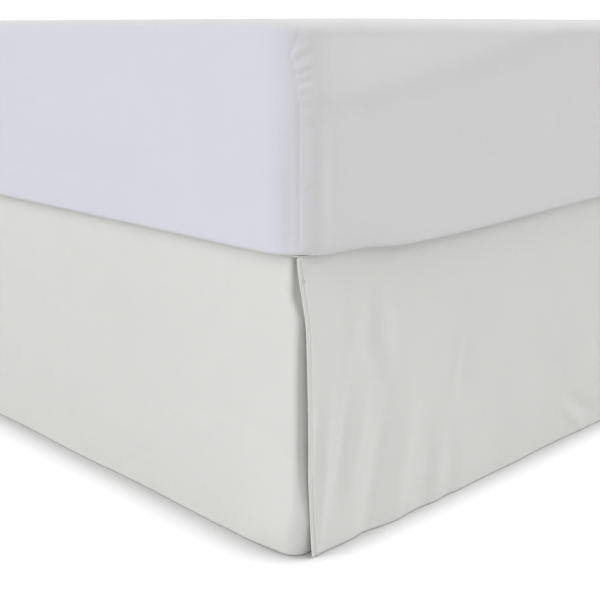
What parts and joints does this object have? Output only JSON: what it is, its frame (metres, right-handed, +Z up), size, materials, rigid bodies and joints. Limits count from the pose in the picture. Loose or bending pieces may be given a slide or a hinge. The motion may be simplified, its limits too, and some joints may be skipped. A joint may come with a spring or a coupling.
{
  "type": "bed skirt on a box spring and mattress",
  "caption": "Tailored split-corner bed skirt: flat deck over a box spring, smooth floor-length panels at foot and sides, fitted to a plain bed with its mattress.",
  "frame": {"origin": "on the floor, under the middle of the bed", "axes": "+Z up, +Y towards the head of the bed, +X to the right of a person who looks at the bed from its foot"},
  "size_m": [1.536, 2.044, 0.6081],
  "materials": {
    "skirt_cloth": "pale warm-grey plain-weave cotton, matt",
    "mattress_sheet": "white fitted sheet over the mattress, matt",
    "base_ticking": "off-white ticking, matt",
    "leg_wood": "turned wood, satin"
  },
  "bodies": {
    "root": {"deck": "skirt_cloth", "foot_panel": "skirt_cloth", "side_panel_right": "skirt_cloth", "side_panel_left": "skirt_cloth", "box_spring": "base_ticking", "leg_right_foot": "leg_wood", "leg_right_middle": "leg_wood", "leg_right_head": "leg_wood", "leg_left_foot": "leg_wood", "leg_left_middle": "leg_wood", "leg_left_head": "leg_wood", "mattress": "mattress_sheet"}
  },
  "joints": []
}
